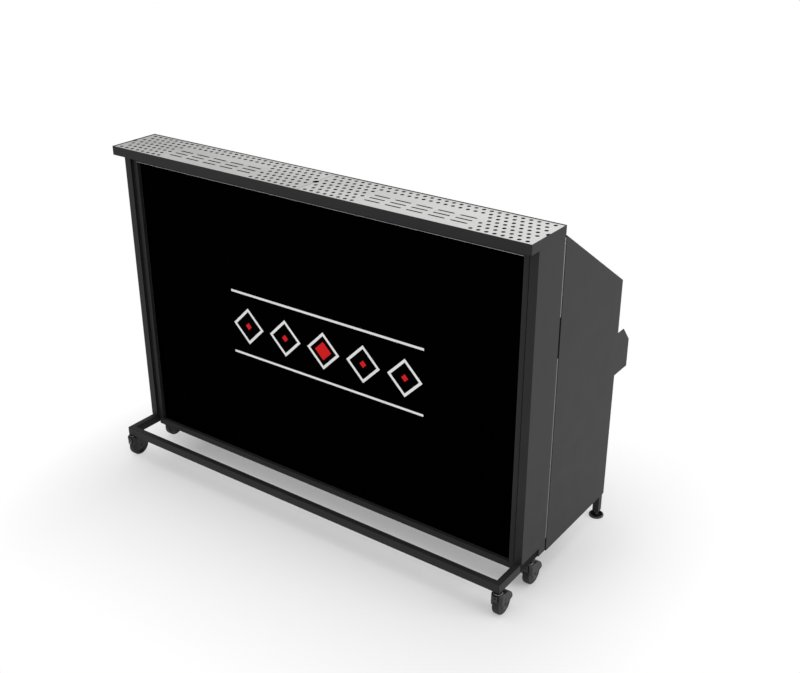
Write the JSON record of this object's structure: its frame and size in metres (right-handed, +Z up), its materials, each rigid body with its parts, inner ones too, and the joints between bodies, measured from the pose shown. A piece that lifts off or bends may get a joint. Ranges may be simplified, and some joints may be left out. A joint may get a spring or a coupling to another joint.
{
  "type": "portable bar",
  "caption": "Portable bar on casters with a framed front panel, perforated drip-plate top, hinged side wings, lift-out worktop with ice bin and pans, and a speed rail.",
  "frame": {"origin": "on the floor, at the centre of the footprint", "axes": "+X along the bar to the right as a guest sees it, -Y towards the guest, +Z up"},
  "size_m": [1.619, 0.7716, 1.16],
  "materials": {
    "black_steel": "fine-textured black powder coat",
    "stainless": "brushed stainless steel",
    "hinge_steel": "drawn stainless piano hinge",
    "panel_acrylic": "satin black cast acrylic",
    "cover_sheet": "black coated aluminium composite",
    "black_plastic": "moulded black nylon",
    "caster_tread": "black polyurethane tyred wheel",
    "zinc_steel": "bright zinc plated steel"
  },
  "bodies": {
    "carcass": {"chassis_front_rail": "black_steel", "chassis_side_rail_left": "black_steel", "chassis_side_rail_right": "black_steel", "chassis_rear_rail": "black_steel", "chassis_end_plugs": "black_plastic", "caster_stems": "zinc_steel", "cheek_left": "black_steel", "cheek_right": "black_steel", "frame_stile_left": "black_steel", "frame_stile_right": "black_steel", "frame_rail_top": "black_steel", "frame_rail_bottom": "black_steel", "front_panel": "panel_acrylic", "panel_retainers": "black_steel", "back_cover": "cover_sheet", "bar_top": "black_steel", "plate_ledges": "black_steel", "worktop_front_ledge": "black_steel", "hinge_leaf_fixed_left": "hinge_steel", "hinge_leaf_fixed_right": "hinge_steel", "hinge_pins": "hinge_steel"},
    "worktop": {"worktop_ice_section": "stainless", "worktop_pan_section": "stainless", "worktop_apron": "stainless", "speed_rail": "stainless", "rail_bolts": "zinc_steel"},
    "ice_bin": {"ice_bin": "stainless"},
    "ice_bin_lid": {"ice_bin_lid": "stainless"},
    "drip_plate_left": {"drip_plate_left": "stainless"},
    "drip_plate_right": {"drip_plate_right": "stainless"},
    "wing_left": {"wing_panel_left": "black_steel", "hinge_leaf_moving_left": "hinge_steel", "leg_left": "black_steel", "leg_insert_left": "black_plastic", "lock_nut_left": "zinc_steel", "worktop_side_ledge_left": "black_steel"},
    "foot_left": {"levelling_foot_left": "black_plastic"},
    "wing_right": {"wing_panel_right": "black_steel", "hinge_leaf_moving_right": "hinge_steel", "leg_right": "black_steel", "leg_insert_right": "black_plastic", "lock_nut_right": "zinc_steel", "worktop_side_ledge_right": "black_steel"},
    "foot_right": {"levelling_foot_right": "black_plastic"},
    "garnish_pan_1": {"garnish_pan_1": "stainless"},
    "garnish_pan_2": {"garnish_pan_2": "stainless"},
    "garnish_pan_3": {"garnish_pan_3": "stainless"},
    "garnish_pan_4": {"garnish_pan_4": "stainless"},
    "caster_front_left": {"caster_hood_front_left": "black_plastic"},
    "wheel_front_left": {"caster_wheel_front_left": "caster_tread"},
    "pedal_front_left": {"caster_pedal_front_left": "black_plastic"},
    "caster_front_right": {"caster_hood_front_right": "black_plastic"},
    "wheel_front_right": {"caster_wheel_front_right": "caster_tread"},
    "pedal_front_right": {"caster_pedal_front_right": "black_plastic"},
    "caster_rear_left": {"caster_hood_rear_left": "black_plastic"},
    "wheel_rear_left": {"caster_wheel_rear_left": "caster_tread"},
    "pedal_rear_left": {"caster_pedal_rear_left": "black_plastic"},
    "caster_rear_right": {"caster_hood_rear_right": "black_plastic"},
    "wheel_rear_right": {"caster_wheel_rear_right": "caster_tread"},
    "pedal_rear_right": {"caster_pedal_rear_right": "black_plastic"}
  },
  "joints": [
    {"name": "drip_plate_left_lift", "type": "slide", "parent": "carcass", "child": "drip_plate_left", "axis": [0, 0, 1], "range_m": [0, 0.05]},
    {"name": "drip_plate_right_lift", "type": "slide", "parent": "carcass", "child": "drip_plate_right", "axis": [0, 0, 1], "range_m": [0, 0.05]},
    {"name": "wing_left_swing", "type": "hinge", "parent": "carcass", "child": "wing_left", "pos_m": [-0.7935, -0.1055, 0.817], "axis": [0, 0, 1], "range_deg": [0, 90]},
    {"name": "foot_left_level", "type": "slide", "parent": "wing_left", "child": "foot_left", "axis": [0, 0, -1], "range_m": [0, 0.02]},
    {"name": "wing_right_swing", "type": "hinge", "parent": "carcass", "child": "wing_right", "pos_m": [0.7935, -0.1055, 0.817], "axis": [0, 0, -1], "range_deg": [0, 90]},
    {"name": "foot_right_level", "type": "slide", "parent": "wing_right", "child": "foot_right", "axis": [0, 0, -1], "range_m": [0, 0.02]},
    {"name": "worktop_lift", "type": "slide", "parent": "carcass", "child": "worktop", "axis": [0, 0, 1], "range_m": [0, 0.3]},
    {"name": "ice_bin_lift", "type": "slide", "parent": "worktop", "child": "ice_bin", "axis": [0, 0, 1], "range_m": [0, 0.27]},
    {"name": "ice_bin_lid_lift", "type": "slide", "parent": "ice_bin", "child": "ice_bin_lid", "axis": [0, 0, 1], "range_m": [0, 0.1]},
    {"name": "garnish_pan_1_lift", "type": "slide", "parent": "worktop", "child": "garnish_pan_1", "axis": [0, 0, 1], "range_m": [0, 0.12]},
    {"name": "garnish_pan_2_lift", "type": "slide", "parent": "worktop", "child": "garnish_pan_2", "axis": [0, 0, 1], "range_m": [0, 0.12]},
    {"name": "garnish_pan_3_lift", "type": "slide", "parent": "worktop", "child": "garnish_pan_3", "axis": [0, 0, 1], "range_m": [0, 0.12]},
    {"name": "garnish_pan_4_lift", "type": "slide", "parent": "worktop", "child": "garnish_pan_4", "axis": [0, 0, 1], "range_m": [0, 0.12]},
    {"name": "caster_front_left_swivel", "type": "hinge", "parent": "carcass", "child": "caster_front_left", "pos_m": [-0.784, -0.3658, 0.091], "axis": [0, 0, 1], "continuous": true},
    {"name": "wheel_front_left_roll", "type": "hinge", "parent": "caster_front_left", "child": "wheel_front_left", "pos_m": [-0.784, -0.3438, 0.0375], "axis": [1, 0, 0], "continuous": true},
    {"name": "pedal_front_left_press", "type": "hinge", "parent": "caster_front_left", "child": "pedal_front_left", "pos_m": [-0.784, -0.38325, 0.079], "axis": [-1, 0, 0], "range_deg": [0, 20]},
    {"name": "caster_front_right_swivel", "type": "hinge", "parent": "carcass", "child": "caster_front_right", "pos_m": [0.784, -0.3658, 0.091], "axis": [0, 0, 1], "continuous": true},
    {"name": "wheel_front_right_roll", "type": "hinge", "parent": "caster_front_right", "child": "wheel_front_right", "pos_m": [0.784, -0.3438, 0.0375], "axis": [1, 0, 0], "continuous": true},
    {"name": "pedal_front_right_press", "type": "hinge", "parent": "caster_front_right", "child": "pedal_front_right", "pos_m": [0.784, -0.38325, 0.079], "axis": [-1, 0, 0], "range_deg": [0, 20]},
    {"name": "caster_rear_left_swivel", "type": "hinge", "parent": "carcass", "child": "caster_rear_left", "pos_m": [-0.784, -0.1868, 0.091], "axis": [0, 0, 1], "continuous": true},
    {"name": "wheel_rear_left_roll", "type": "hinge", "parent": "caster_rear_left", "child": "wheel_rear_left", "pos_m": [-0.784, -0.1648, 0.0375], "axis": [1, 0, 0], "continuous": true},
    {"name": "pedal_rear_left_press", "type": "hinge", "parent": "caster_rear_left", "child": "pedal_rear_left", "pos_m": [-0.784, -0.20425, 0.079], "axis": [-1, 0, 0], "range_deg": [0, 20]},
    {"name": "caster_rear_right_swivel", "type": "hinge", "parent": "carcass", "child": "caster_rear_right", "pos_m": [0.784, -0.1868, 0.091], "axis": [0, 0, 1], "continuous": true},
    {"name": "wheel_rear_right_roll", "type": "hinge", "parent": "caster_rear_right", "child": "wheel_rear_right", "pos_m": [0.784, -0.1648, 0.0375], "axis": [1, 0, 0], "continuous": true},
    {"name": "pedal_rear_right_press", "type": "hinge", "parent": "caster_rear_right", "child": "pedal_rear_right", "pos_m": [0.784, -0.20425, 0.079], "axis": [-1, 0, 0], "range_deg": [0, 20]}
  ]
}
